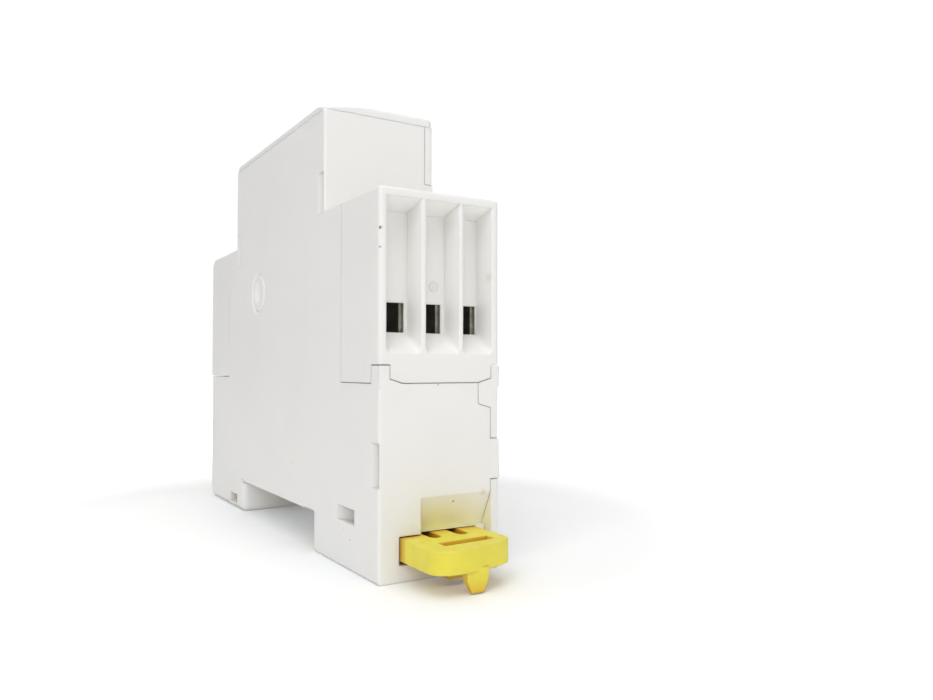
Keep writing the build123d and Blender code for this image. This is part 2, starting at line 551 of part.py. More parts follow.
def moving_arm(x0, x1, foot_x0, foot_x1):
    body = box(x0, x1, ARM_Y0, ARM_Y1, 18.6, 33.2)
    body += box(foot_x0, foot_x1, ARM_Y0, ARM_Y1, 18.6, 23.2)
    body = soften(body, lambda edge: along(edge, "Y") and (edge @ 0).Z < 18.7, 0.8)
    return body - cyl_x(0.65, x0 - 1, x1 + 1, *ARM_PIN)


def tips(y0, trim_y1):
    """Phase and neutral contact discs; the neutral one is trimmed to the arm's width."""
    y1 = y0 + TIP_T
    return (cyl_y(1.6, y0, y1, -2.6, 20.9),
            cyl_y(1.6, y0, y1, 5.1, 20.9) & box(*NEUTRAL_ARM_X, -4, trim_y1, 18, 24))


save("phase_moving_arm", moving_arm(-1.4, 1.4, -4.6, 1.4))
save("neutral_moving_arm", moving_arm(*NEUTRAL_ARM_X, *NEUTRAL_ARM_X))
save("arm_pins", cyl_x(0.6, -2.1, 1.75, *ARM_PIN), cyl_x(0.6, 3.1, 6.75, *ARM_PIN))
save("moving_contact_tips", *tips(ARM_Y1, -2))
save("fixed_contact_tips", *tips(ARM_Y1 + TIP_T, -1))
save("contact_springs", *[spring_y(-7.35, -4.62, 0.9, 0.2, 4, *axis)
                          for axis in (PHASE_SPRING, NEUTRAL_SPRING)])


# ---------------------------------------------------------------- phase path
def bar(x, y0, y1):
    """Flat tongue between the inside of a cage and the interior."""
    return box(x - BAR_W / 2, x + BAR_W / 2, y0, y1, BAR_Z0, BAR_Z1)


save("phase_fixed_contact", box(-4.6, -0.6, -1.6, -0.4, 3.0, 22.8)
     + box(-4.6, 0.9, -1.6, 6.2, 21.6, 22.8))

load_bar = bar(POLES[0], NEAR_BAR_Y, -24.3) + box(-6.9, -4.1, -25.5, -24.3, 19.4, BAR_Z1)
load_bar += (box(-6.9, 0.5, -25.5, -24.3, 19.4, 22.4)
             + box(-5.5, 0.5, -24.4, -22.6, 19.4, 22.4))
load_bar -= cyl_y(0.92, -26, -22, *CALIBRATION)
save("phase_load_bar", load_bar)
save("bimetal_strip", box(-5.5, 0.5, -22.6, -21.8, 20.6, 42.2))

calibration = (cyl_y(0.9, -24.9, -22.62, *CALIBRATION)
               + cyl_y(1.4, -26.2, -25.55, *CALIBRATION)
               + cyl_y(0.9, -25.6, -24.8, *CALIBRATION))
calibration -= box(-2.4, 0.6, -27, -25.9, 20.7, 21.1)
save("calibration_screw", calibration)


def braid(*points):
    return sweep_wire(Spline(*points), 0.8)


save("phase_braid",
     braid((-0.4, -20.9, 37.6), (-0.4, -19.4, 33.0), (-0.4, -14.5, 26.8),
           (-0.4, -9.5, 24.6), (-0.4, -5.5, 24.9))
     + box(-1.6, 0.5, -21.8, -20.2, 36.6, 38.6) + box(-1.4, 0.6, -5.9, -4.6, 23.9, 25.9))
save("phase_line_bar", bar(POLES[0], 21.6, FAR_BAR_Y)
     + box(-6.9, -4.1, 21.6, 22.8, 25.6, BAR_Z1))

# ---------------------------------------------------------------- neutral path
NEUTRAL_BAR_X = (POLES[2] - BAR_W / 2, POLES[2] + BAR_W / 2)
save("neutral_load_bar", bar(POLES[2], NEAR_BAR_Y, -24.3)
     + box(*NEUTRAL_BAR_X, -25.5, -24.3, 24.0, BAR_Z1))
save("neutral_braid",
     braid((5.4, -23.3, 25.6), (5.4, -19.5, 24.2), (5.4, -14.0, 22.6),
           (5.4, -9.0, 23.6), (5.4, -5.5, 24.9))
     + box(4.4, 6.4, -24.3, -22.9, 24.6, 26.6) + box(4.4, 6.4, -5.9, -4.6, 23.9, 25.9))
neutral_fixed = (box(3.8, 6.6, -1.6, -0.4, 17.2, 23.4)
                 + box(*NEUTRAL_BAR_X, -1.6, 25.2, 16.9, 18.1)
                 + box(*NEUTRAL_BAR_X, 24.0, 25.2, 16.9, BAR_Z1))
neutral_fixed += bar(POLES[2], 24.0, FAR_BAR_Y)
save("neutral_fixed_contact", neutral_fixed)

# ---------------------------------------------------------------- auxiliary contact
AUX_TIP = (0.6, 3.8, -7.0)              # radius, x, y
tip_r, *tip_xy = AUX_TIP
aux_fixed = bar(POLES[1], NEAR_BAR_Y, -25.3) + box(-1.3, 1.5, -26.5, -25.3, BAR_Z0, 40.4)
aux_fixed += (box(-1.3, 4.4, -26.5, -25.3, 37.6, 40.4)
              + box(3.2, 4.4, -26.5, -6.0, 39.2, 40.4))
aux_fixed += cyl_z(tip_r, 40.3, 41.1, *tip_xy)
save("aux_fixed_contact", aux_fixed)

aux_line = bar(POLES[1], 25.3, FAR_BAR_Y) + box(-1.3, 1.5, 25.3, 26.5, BAR_Z0, 41.8)
aux_line += (box(-1.3, 6.6, 25.3, 26.5, 38.4, 41.8) + box(3.2, 6.6, 18.0, 26.5, 40.6, 41.8)
             + box(3.2, 6.6, 18.05, 24.5, 41.7, 42.2))
save("aux_line_bar", aux_line)
save("aux_blade", box(3.2, 6.6, -8.6, 18.0, 41.8, 42.2) + cyl_z(tip_r, 41.1, 41.9, *tip_xy))

# ---------------------------------------------------------------- trip lever
trip = cyl_x(1.9, -7.0, -3.4, *TRIP)
# arm rising to a finger on the near side
trip += prism_x([(-14.6, 32.6), (-12.4, 34.6), (-18.6, 41.6), (-20.3, 41.6), (-20.3, 39.6),
                 (-19.2, 39.0)], -7.0, -5.4)
trip += box(-7.0, -3.6, -20.3, -19.1, 39.8, 41.6)
# arm falling to a pad in front of the magnet's push pin
trip += prism_x([(-12.6, 34.6), (-13.4, 31.4), (-3.2, 25.5), (-1.25, 25.5), (-1.25, 28.5),
                 (-3.2, 28.5)], -7.0, -5.4)
trip += box(-7.0, -2.5, -2.5, -1.25, 25.5, 28.5)
# upright beside the latch
trip += prism_x([(-14.4, 33.5), (-11.6, 34.0), (-12.4, 41.2), (-13.4, 41.2)], -6.0, -4.6)
trip -= cyl_x(TRIP_PIN_R + 0.05, -8, 0, *TRIP)
save("trip_lever", trip)
save("trip_pin", cyl_x(TRIP_PIN_R, PIN_X0, 2.85, *TRIP))
save("trip_spring", coil_x(-3.0, 3, 0.6, 1.35, 0.2, *TRIP))

# ---------------------------------------------------------------- magnet
bobbin = (cyl_y(2.4, 3.2, 19.0, *MAGNET) + cyl_y(3.9, 3.2, 4.0, *MAGNET)
          + cyl_y(3.9, 18.2, 19.0, *MAGNET))
bobbin -= cyl_y(1.95, 0, 22, *MAGNET)
bobbin -= box(-7.2, -5.3, 18.0, 19.5, 26.2, 27.8)   # exit for the coil's far end
save("coil_bobbin", bobbin)

# winding, a half turn short of 11 turns, with a lead at each end
TURNS, PITCH, COIL_R, WIRE_R = 11, 1.22, 3.1, 0.55
COIL_Y0 = 4.7
coil_len = TURNS * PITCH - PITCH / 2
magnet_x, magnet_z = MAGNET
helix = Helix(pitch=PITCH, height=coil_len, radius=COIL_R)
coil = Pos(magnet_x, COIL_Y0, magnet_z) * Rot(-90, 0, 0) * sweep_wire(helix, WIRE_R)
near_x, far_x = magnet_x + COIL_R, magnet_x - COIL_R
coil += rod((near_x, COIL_Y0, magnet_z), (near_x, COIL_Y0, 22.8), WIRE_R)
coil += rod((far_x, COIL_Y0 + coil_len, magnet_z), (far_x, 21.6, magnet_z), WIRE_R)
save("magnet_coil", coil)

yoke = (box(-5.2, 0.1, 2.1, 3.15, 23.2, 32.3) + box(-5.2, 0.1, 19.05, 20.1, 23.2, 32.3)
        + box(-5.2, 0.1, 2.1, 20.1, 31.3, 32.3))
yoke -= cyl_y(0.95, 1, 4, *MAGNET)
yoke -= cyl_y(1.97, 18, 21, *MAGNET)
save("magnet_yoke", yoke)
save("fixed_core", cyl_y(1.93, 3.2, 8.0, *MAGNET) - cyl_y(0.75, 3, 9, *MAGNET)
     - cyl_y(1.4, 5.2, 9, *MAGNET))
plunger = (cyl_y(1.88, 11.0, 21.4, *MAGNET) - cyl_y(1.4, 10, 16.0, *MAGNET)
           - cyl_y(0.66, 15, 18.0, *MAGNET))
save("plunger", soften(plunger, lambda edge: on(edge, "Y", 21.4), 0.4))
save("push_pin", soften(cyl_y(0.65, 1.5, 18.0, *MAGNET), lambda edge: on(edge, "Y", 1.5), 0.3))
save("plunger_spring", spring_y(8.05, 16.0, 1.1, 0.18, 8, *MAGNET))

# ---------------------------------------------------------------- arc chute
PLATE_T = 0.8
PLATE_YS = [-14.2 + k * 1.5 for k in range(8)]
TAB_BANDS = ((4.6, 6.0), (12.2, 13.6))  # z ranges of the plates' side tabs
TAB_FIT = 0.03
plates = []
for y in PLATE_YS:
    plate = box(-6.9, 1.3, y, y + PLATE_T, 3.2, 15.4)
    plate -= prism_y([(-4.4, 16), (-0.8, 16), (-2.3, 8.6), (-2.9, 8.6)], y - 0.5, y + 1.3)
    plate += (box(-7.25, 1.65, y, y + PLATE_T, *TAB_BANDS[0])
              + box(-7.25, 1.65, y, y + PLATE_T, *TAB_BANDS[1]))
    plates.append(plate)
save("arc_splitter_plates", *plates)

sides = []
for x0, x1 in ((-7.35, -6.95), (1.35, 1.75)):
    side = box(x0, x1, -15.0, -2.2, 2.2, 15.8)
    for y in PLATE_YS:
        for z0, z1 in TAB_BANDS:
            side -= box(x0 - 1, x1 + 1, y - TAB_FIT, y + PLATE_T + TAB_FIT,
                        z0 - TAB_FIT, z1 + TAB_FIT)
    sides.append(side)
save("arc_side_plates", *sides)

RUNNER_X = (-4.6, -0.6)
save("arc_runner", box(*RUNNER_X, -17.4, -16.4, 2.2, 16.6)
     + box(*RUNNER_X, -22.6, -16.4, 15.6, 16.6) + box(*RUNNER_X, -25.5, -24.5, 15.6, 19.4)
     + box(*RUNNER_X, -25.5, -22.0, 15.6, 16.6))

# ---------------------------------------------------------------- inner partition
partition = box(2.1, 2.9, -20.0, 22.0, WALL, 42.6)
partition += box(2.1, 2.9, -24.0, -19.0, 8.5, 36.5)
partition -= cyl_x(2.85, 1, 4, *CARRIER)
partition -= cyl_x(TRIP_PIN_R + 0.03, 1, 4, *TRIP)
save("inner_partition", partition)

# ---------------------------------------------------------------- near rail clip
CLIP_Z0, CLIP_Z1 = -2.9, -0.05
clip = prism_x([(-51.0, CLIP_Z0), (-16.4, CLIP_Z0), (-14.6, -1.7), (-14.6, -1.25),
                (-18.6, -1.25), (-18.6, CLIP_Z1), (-51.0, CLIP_Z1)], -6.0, 6.0)
# plan (x, y) with a curved near edge
near_edge = Spline((6.0, -46.2), (5.35, -47.45), (3.6, -48.35), (1.0, -49.1), (-1.6, -49.5),
                   (-3.7, -49.45), (-5.35, -48.75), (-6.0, -47.3))
plan = make_face([near_edge, Line((-6.0, -47.3), (-6.0, -10.0)),
                  Line((-6.0, -10.0), (6.0, -10.0)), Line((6.0, -10.0), (6.0, -46.2))])
clip = clip & extrude(Plane.XY.offset(-6) * plan, amount=8)
clip = soften(clip, lambda edge: on(edge, "Z", CLIP_Z1) and (edge @ 0.5).Y < -47.0, 0.8)
clip = soften(clip, lambda edge: on(edge, "Z", CLIP_Z0) and (edge @ 0.5).Y < -47.0, 0.3)
# cross slot near the edge, then two long round-ended slots
clip -= Pos(0.4, -45.6, -1.5) * Rot(0, 0, 4.0) * Box(7.5, 1.75, 5)
for x0, x1 in ((-2.5, -0.9), (1.5, 3.1)):
    clip -= (box(x0, x1, -41.4, -24.0, -4, 1)
             + cyl_z((x1 - x0) / 2, -4, 1, (x0 + x1) / 2, -41.4))
# tapered tongue and wedge rib on the underside
tongue = prism_y([(-1.9, -2.5), (1.3, -2.5), (1.25, -3.9), (0.6, -5.5), (-1.1, -5.5),
                  (-1.75, -3.9)], -49.6, -48.0)
tongue &= prism_x([(-49.25, -2.0), (-48.0, -2.0), (-48.1, -3.6), (-48.75, -5.6),
                   (-49.2, -5.6), (-49.35, -3.4)], -3, 3)
clip += tongue
clip += prism_y([(-2.9, -2.6), (-1.55, -4.75), (0.85, -4.75), (1.3, -2.6)], -44.6, -42.9)
# side bumps that sit in the channel's pockets
BUMP = ((5.9, -30.6), (6.0, -30.6), (6.35, -29.6), (6.35, -28.8), (6.0, -28.6), (5.9, -28.6))
for side in (-1, 1):
    clip += prism_z([(side * x, y) for x, y in BUMP], -2.4, -0.7)
save("near_rail_clip", clip)

# ---------------------------------------------------------------- far rail clip
retainer = box(-6.0, 6.0, 20.6, 41.3, -3.3, -0.7) + box(-2.2, 2.2, 16.3, 20.7, -3.3, -1.45)
retainer += box(-7.5, -5.9, 20.9, 36.0, -4.45, -2.95)
retainer -= box(-3.4, 3.4, 37.4, 39.6, -4, 0)
for x0, x1 in ((-2.5, -0.9), (0.9, 2.5)):
    retainer -= box(x0, x1, 24.0, 35.0, -4, 0)
retainer = soften(retainer, lambda edge: along(edge, "Z") and on(edge, "Y", 41.3), 1.0)
save("far_rail_clip", retainer)
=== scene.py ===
# A narrow modular circuit breaker: white housing, yellow clip at its foot, phase and neutral
# paths inside. The left wall lies at x = -9 mm, the front end faces -y and z points up.
# Lengths are in millimetres and become metres through MM, unless a comment says otherwise.
import bpy, bmesh, json, math
from mathutils import Vector, Matrix


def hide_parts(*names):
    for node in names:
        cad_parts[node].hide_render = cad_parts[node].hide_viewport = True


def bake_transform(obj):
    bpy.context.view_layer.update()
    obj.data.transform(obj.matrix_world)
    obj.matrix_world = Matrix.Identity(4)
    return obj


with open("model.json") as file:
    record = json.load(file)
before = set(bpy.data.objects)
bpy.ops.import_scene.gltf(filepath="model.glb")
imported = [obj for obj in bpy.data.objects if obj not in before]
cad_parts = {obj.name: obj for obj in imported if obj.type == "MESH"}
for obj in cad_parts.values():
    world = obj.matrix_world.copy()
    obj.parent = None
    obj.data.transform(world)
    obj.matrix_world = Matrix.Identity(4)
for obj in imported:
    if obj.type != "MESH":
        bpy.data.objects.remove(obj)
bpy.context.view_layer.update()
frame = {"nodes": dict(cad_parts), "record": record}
nodes = frame["nodes"]
slot_of = {part["node"]: part["material_slot"] for part in frame["record"]["subparts"]}
scene = bpy.context.scene
MM = 0.001
WHITE = (1, 1, 1, 1)
LEFT_WALL_X = -9.0


# ------------------------------------------------------------------ shader helpers
def put(tree, socket, value):
    """Links a socket to the input, or stores a plain value in it."""
    if isinstance(value, bpy.types.NodeSocket):
        tree.links.new(value, socket)
    else:
        socket.default_value = value


def add_node(tree, kind, inputs=None, **properties):
    """Makes a node, sets its properties, then fills the inputs given by name or index."""
    node = tree.nodes.new(kind)
    for key, value in properties.items():
        setattr(node, key, value)
    for key, value in (inputs or {}).items():
        put(tree, node.inputs[key], value)
    return node


def rgba(colour):
    return (*colour, 1.0) if isinstance(colour, tuple) else colour


def tone(colour, factor, lift=0.0):
    """The colour made darker or lighter, held at or below 1."""
    return tuple(min(1.0, channel * factor + lift) for channel in colour)


def tint(colour, filter_colour):
    return tuple(channel * part for channel, part in zip(colour, filter_colour))


class Net:
    """A material with a Principled surface, and methods that add nodes and return sockets."""

    def __init__(self, name):
        self.material = bpy.data.materials.new(name)
        self.material.use_nodes = True
        self.tree = self.material.node_tree
        self.tree.nodes.clear()
        output = self.node("ShaderNodeOutputMaterial")
        self.bsdf = self.node("ShaderNodeBsdfPrincipled")
        put(self.tree, output.inputs[0], self.bsdf.outputs[0])
        self.coords = self.node("ShaderNodeTexCoord").outputs["Object"]

    def node(self, kind, inputs=None, **properties):
        return add_node(self.tree, kind, inputs, **properties)

    def set(self, name, value):
        """Sets or links an input of the Principled surface."""
        put(self.tree, self.bsdf.inputs[name], value)

    def noise(self, scale, detail, rough, stretch=None):
        coords = self.coords
        if stretch:
            mapping = self.node("ShaderNodeMapping", {"Scale": stretch, "Vector": coords})
            coords = mapping.outputs[0]
        return self.node("ShaderNodeTexNoise", {
            "Scale": scale, "Detail": detail, "Roughness": rough, "Vector": coords,
        }).outputs["Fac"]

    def ramp(self, value, span, to=(0.0, 1.0)):
        """Maps the span linearly onto `to`, clamped at both ends."""
        return self.node("ShaderNodeMapRange", {
            0: value, 1: span[0], 2: span[1], 3: to[0], 4: to[1],
        }, clamp=True).outputs[0]

    def ramp_mm(self, value, span, to=(0.0, 1.0)):
        """The same for a length, with the span in millimetres."""
        return self.ramp(value, [end * MM for end in span], to)

    def math(self, operation, first, second):
        return self.node("ShaderNodeMath", {0: first, 1: second}, operation=operation).outputs[0]

    def mul(self, product, *factors):
        for factor in factors:
            product = self.math("MULTIPLY", product, factor)
        return product

    def mix(self, amount, under, over, strength=None):
        """Lays one colour over another; strength scales the amount."""
        if strength is not None:
            amount = self.mul(amount, strength)
        return self.node("ShaderNodeMix", {0: amount, 6: rgba(under), 7: rgba(over)},
                         data_type="RGBA", blend_type="MIX").outputs[2]

    def bevel_normal(self, radius):
        return self.node("ShaderNodeBevel", {"Radius": radius * MM}, samples=4).outputs[0]

    def edge(self, radius):
        """1 on convex and concave edges, 0 on flats: the bevelled normal against the plain one."""
        bevelled = self.bevel_normal(radius)
        plain = self.node("ShaderNodeNewGeometry").outputs["Normal"]
        dot = self.node("ShaderNodeVectorMath", {0: bevelled, 1: plain}, operation="DOT_PRODUCT")
        return self.ramp(dot.outputs["Value"], span=(0.995, 0.80))

    def occlusion(self, distance, samples):
        """Near 0 in closed hollows, 1 in the open."""
        return self.node("ShaderNodeAmbientOcclusion", {"Distance": distance * MM},
                         samples=samples).outputs["AO"]

    def axis(self, name):
        return self.node("ShaderNodeSeparateXYZ", {0: self.coords}).outputs[name]

    def between(self, value, band, soft=0.04):
        """1 inside the band, with soft ends."""
        low, high = band
        rise = self.ramp_mm(value, (low - soft, low + soft))
        fall = self.ramp_mm(value, (high - soft, high + soft), to=(1.0, 0.0))
        return self.mul(rise, fall)

    def in_either(self, value, bands, soft=0.04):
        return self.math("MAXIMUM", *[self.between(value, band, soft) for band in bands])

    def near_point(self, point, radius, wobble):
        """1 inside a small irregular spot round a point."""
        distance = self.node("ShaderNodeVectorMath", {
            0: self.coords, 1: [value * MM for value in point],
        }, operation="DISTANCE").outputs["Value"]
        ragged = self.mul(distance, self.ramp(wobble, span=(0.3, 0.7), to=(0.7, 1.5)))
        return self.ramp_mm(ragged, span=(radius * 0.55, radius), to=(1.0, 0.0))

    def bump(self, height, strength, distance, bevel):
        """Surface relief on top of edges rounded by the bevel radius."""
        self.set("Normal", self.node("ShaderNodeBump", {
            "Normal": self.bevel_normal(bevel), "Strength": strength,
            "Distance": distance * MM, "Height": height,
        }).outputs[0])

    def scatter(self, weight, radius, scale=0.9):
        """Light spreading under the surface; radius is the share of red, green and blue."""
        self.set("Subsurface Weight", weight)
        self.set("Subsurface Radius", radius)
        self.set("Subsurface Scale", scale * MM)


# ------------------------------------------------------------------ housing marks and painted light
# moulding specks and faint stains: (point, radius, colour, strength)
SPECKS = (
    ((-8.86, -39.95, 38.85), 0.26, (0.10, 0.08, 0.07), 0.85),
    ((-8.86, -39.95, 36.4), 0.19, (0.16, 0.14, 0.12), 0.6),
    ((2.03, -39.63, 3.82), 0.18, (0.10, 0.05, 0.02), 0.9),
    ((-0.55, -40.1, 19.15), 0.16, (0.20, 0.16, 0.13), 0.6),
    ((7.6, -39.3, 33.6), 0.9, (0.66, 0.52, 0.40), 0.30),
    ((6.5, -39.9, 4.7), 0.6, (0.60, 0.48, 0.34), 0.35),
    ((LEFT_WALL_X, -31.5, -1.5), 0.17, (0.26, 0.23, 0.20), 0.75),
    ((LEFT_WALL_X, -29.3, -0.4), 0.35, (0.70, 0.60, 0.48), 0.35),
    ((LEFT_WALL_X, -8.7, 6.4), 0.34, (0.60, 0.60, 0.57), 0.5),
    ((LEFT_WALL_X, 41.7, 8.2), 2.6, (0.66, 0.64, 0.40), 0.30),
)
# hollows of the left wall: (y band, z band, depth, painted shade at the shallow and the deep end)
HOLLOWS = (
    ((-39.97, -37.80), (6.25, 11.95), 0.95, (0.02, 0.36)),
    ((-21.31, -19.03), (43.75, 49.95), 0.70, (0.02, 0.22)),
    ((20.75, 22.45), (40.75, 46.55), 0.50, (0.02, 0.22)),
    ((39.65, 41.65), (3.75, 10.20), 0.60, (0.02, 0.22)),
    ((-32.86, -27.05), (0.55, 2.65), 2.15, (0.14, 0.66)),
)
# inner regions; each pair of y bands is the front end, then the back end
POCKETS = {"x": (-8.3, 8.3), "y": ((-35.93, -28.15), (28.3, 37.68)), "z": (24.9, 38.8)}
WIRE_BAYS = {"x": (-8.2, 8.2), "y": ((-39.9, -36.05), (37.8, 41.65)), "z": (22.6, 43.4)}
FINGER_RECESS = {"x": (-3.03, 7.9), "y": (-40.06, -36.6), "z": (-0.3, 4.9)}


def hollow_shade(net, colour, x, y, z):
    """Painted shade in the sloping hollows of the left wall, darkest where they are deepest."""
    for y_band, z_band, depth, shade_range in HOLLOWS:
        bottom = LEFT_WALL_X + depth
        amount = net.mul(
            net.between(y, y_band, soft=0.03),
            net.between(z, z_band, soft=0.03),
            net.ramp_mm(x, span=(LEFT_WALL_X + 0.02, bottom), to=shade_range),
            net.ramp_mm(x, span=(bottom + 0.05, bottom + 0.15), to=(1.0, 0.0)),
            net.ramp_mm(x, span=(LEFT_WALL_X + 0.01, LEFT_WALL_X + 0.05)))
        colour = net.mix(amount, colour, over=(0.20, 0.19, 0.175))
    return colour


def housing_painted_light_and_specks(net, colour):
    """Painted light on the housing: painted shade in the pockets and hollows, painted yellow
    bounce light in the finger recess, a painted glow in the wire bays; then specks.
    """
    x, y, z = net.axis("X"), net.axis("Y"), net.axis("Z")

    # painted shade: the closed-in terminal pockets are darkened
    pocket_shade = net.mul(net.in_either(y, POCKETS["y"]), net.between(z, POCKETS["z"]),
                      net.between(x, POCKETS["x"]))
    colour = net.mix(pocket_shade, colour, over=(0.20, 0.19, 0.155), strength=0.97)
    colour = hollow_shade(net, colour, x, y, z)

    # painted bounce light: the finger recess is tinted with the yellow of the clip under it,
    # strongest at the bottom
    across = net.mul(net.between(x, FINGER_RECESS["x"]),
                     net.ramp_mm(x, span=(1.0, 7.0), to=(1.0, 0.45)))
    recess_bounce_light = net.mul(net.between(y, FINGER_RECESS["y"], soft=0.02), across,
                     net.ramp_mm(z, span=(0.2, 4.8), to=(0.92, 0.0)),
                     net.between(z, FINGER_RECESS["z"]))
    colour = net.mix(recess_bounce_light, colour, over=(1.0, 0.97, 0.50))

    # painted glow: the wire bays are given emission, more near the top, standing in for light the
    # thin ribs round them let through
    painted_bay_glow = net.mul(net.in_either(y, WIRE_BAYS["y"], soft=0.15),
                   net.between(z, WIRE_BAYS["z"], soft=0.2),
                   net.between(x, WIRE_BAYS["x"]),
                   net.ramp_mm(z, span=(40.8, 42.6), to=(0.030, 0.065)))
    net.set("Emission Color", (1.0, 0.985, 0.95, 1))
    net.set("Emission Strength", painted_bay_glow)

    wobble = net.noise(scale=5200.0, detail=2.0, rough=0.5)
    for point, radius, speck_colour, strength in SPECKS:
        spot = net.near_point(point, radius, wobble)
        colour = net.mix(spot, colour, over=speck_colour, strength=strength)
    return colour


# ------------------------------------------------------------------ material makers
def plastic(name, base, rough, grain=0.35, grain_scale=2600.0, variation=0.02, crease_shade_and_dirt=0.10,
            edge_light=0.06, scatter=0.0, bevel=0.18, marks_and_light=None):
    """Moulded plastic. Grain is the bump strength; the marks function adds local colour at the
    end, painted light included.
    """
    net = Net(name)
    cloud = net.noise(scale=55.0, detail=3.0, rough=0.55)
    mottle = net.noise(scale=420.0, detail=4.0, rough=0.6)
    colour = net.mix(net.ramp(cloud, span=(0.35, 0.65)),
                     tone(base, 1 - 2 * variation), tone(base, 1 + variation))
    colour = net.mix(net.ramp(mottle, span=(0.62, 0.85), to=(0.0, 0.35)), colour,
                     over=tint(base, (0.97, 0.965, 0.95)))

    # painted shade and handling grime where the faces meet, following the occlusion
    open_air = net.occlusion(distance=2.2, samples=6)
    crease_shade_and_grime = net.mul(net.ramp(open_air, span=(0.25, 0.85), to=(1.0, 0.0)),
                    net.ramp(mottle, span=(0.3, 0.7), to=(0.5, 1.0)))
    colour = net.mix(crease_shade_and_grime, colour, over=tint(base, (0.93, 0.90, 0.84)), strength=crease_shade_and_dirt)

    # edges, inner ones too, are painted paler, partly rubbed wear and partly a painted edge
    # highlight, and made a little smoother
    rub = net.noise(scale=900.0, detail=3.0, rough=0.6)
    worn_and_lit_edge = net.mul(net.edge(bevel * 1.4), net.ramp(rub, span=(0.35, 0.6), to=(0.35, 1.0)))
    colour = net.mix(worn_and_lit_edge, colour, over=tone(base, factor=1.25, lift=0.04),
                     strength=edge_light)
    if marks_and_light:
        colour = marks_and_light(net, colour)
    net.set("Base Color", colour)

    matt = net.ramp(mottle, span=(0.3, 0.7), to=(rough - 0.05, rough + 0.05))
    polish = -0.08  # change of roughness on fully worn edges
    net.set("Roughness", net.math("ADD", matt, net.mul(worn_and_lit_edge, polish)))
    net.set("IOR", 1.49)
    fine = net.noise(scale=grain_scale, detail=3.0, rough=0.6)
    soft = net.noise(scale=180.0, detail=2.0, rough=0.5)
    fine_share, soft_share = 1.0, 0.8  # parts of the relief height
    relief = net.math("ADD", net.mul(fine, fine_share), net.mul(soft, soft_share))
    net.bump(relief, strength=grain, distance=0.02, bevel=bevel)
    if scatter:
        net.scatter(weight=scatter, radius=(1.0, 0.9, 0.8))
    return net.material


def metal(name, base, rough, brush=(1, 1, 12)):
    """Bare metal with brushed lines; brush stretches their noise along each axis."""
    net = Net(name)
    cloud = net.noise(scale=160.0, detail=4.0, rough=0.6)
    lines = net.noise(scale=900.0, detail=3.0, rough=0.65, stretch=brush)
    variation = 0.08  # change of tone over the surface
    colour = net.mix(net.ramp(cloud, span=(0.3, 0.7)),
                     tone(base, 1 - 2 * variation), tone(base, 1 + variation))
    # brown stain in the corners, pale wear on the edges
    open_air = net.occlusion(distance=1.2, samples=4)
    colour = net.mix(net.ramp(open_air, span=(0.2, 0.8), to=(1.0, 0.0)), colour,
                     over=(0.25, 0.2, 0.15), strength=0.25)
    colour = net.mix(net.edge(radius=0.12), colour, over=tone(base, factor=1.15, lift=0.08),
                     strength=0.25)
    net.set("Base Color", colour)
    net.set("Metallic", 1.0)
    net.set("Roughness", net.ramp(lines, span=(0.25, 0.75), to=(rough - 0.08, rough + 0.12)))
    net.bump(lines, strength=0.18, distance=0.01, bevel=0.08)
    return net.material


def yellow_clip(name, base):
    """Dyed plastic: shaded hollows turn orange and then brown, as light bounces inside them."""
    net = Net(name)
    cloud = net.noise(scale=260.0, detail=3.0, rough=0.55)
    mottle = net.noise(scale=1500.0, detail=4.0, rough=0.6)
    colour = net.mix(net.ramp(cloud, span=(0.3, 0.7)), tone(base, 0.94), tone(base, 1.04))
    colour = net.mix(net.ramp(mottle, span=(0.55, 0.8), to=(0.0, 0.25)), colour,
                     over=(0.84, 0.70, 0.06))
    open_air = net.occlusion(distance=3.2, samples=8)
    # painted shade: the left side is darkened to a dull olive
    left_side_shade = net.ramp_mm(net.axis("X"), span=(-6.6, -6.1), to=(1.0, 0.0))
    colour = net.mix(left_side_shade, colour, over=(0.30, 0.28, 0.10), strength=0.85)
    # orange half shade, then brown full shade
    colour = net.mix(net.ramp(open_air, span=(0.36, 0.80), to=(0.92, 0.0)), colour,
                     over=(0.80, 0.36, 0.012))
    colour = net.mix(net.ramp(open_air, span=(0.03, 0.34), to=(0.88, 0.0)), colour,
                     over=(0.10, 0.030, 0.004))
    # painted shade: brown where the clip leaves the housing
    mouth_shade = net.mul(net.ramp_mm(net.axis("Y"), span=(-41.7, -40.2), to=(0.0, 0.72)),
                    net.ramp_mm(net.axis("Y"), span=(-39.2, -37.4), to=(1.0, 0.12)),
                    net.ramp_mm(net.axis("X"), span=(-5.95, -5.3), to=(1.0, 0.12)))
    colour = net.mix(mouth_shade, colour, over=(0.40, 0.165, 0.010))
    # painted highlight: the open edges are pale
    edge_highlight = net.mul(net.edge(radius=0.35), net.ramp(open_air, span=(0.6, 0.95)))
    colour = net.mix(edge_highlight, colour, over=(0.95, 0.90, 0.30), strength=0.38)
    net.set("Base Color", colour)
    net.set("Roughness", net.ramp(mottle, span=(0.3, 0.7), to=(0.36, 0.48)))
    net.set("IOR", 1.5)
    net.scatter(weight=0.25, radius=(1.0, 0.7, 0.08))
    grain = net.noise(scale=3200.0, detail=3.0, rough=0.6)
    net.bump(grain, strength=0.3, distance=0.02, bevel=0.3)
    return net.material


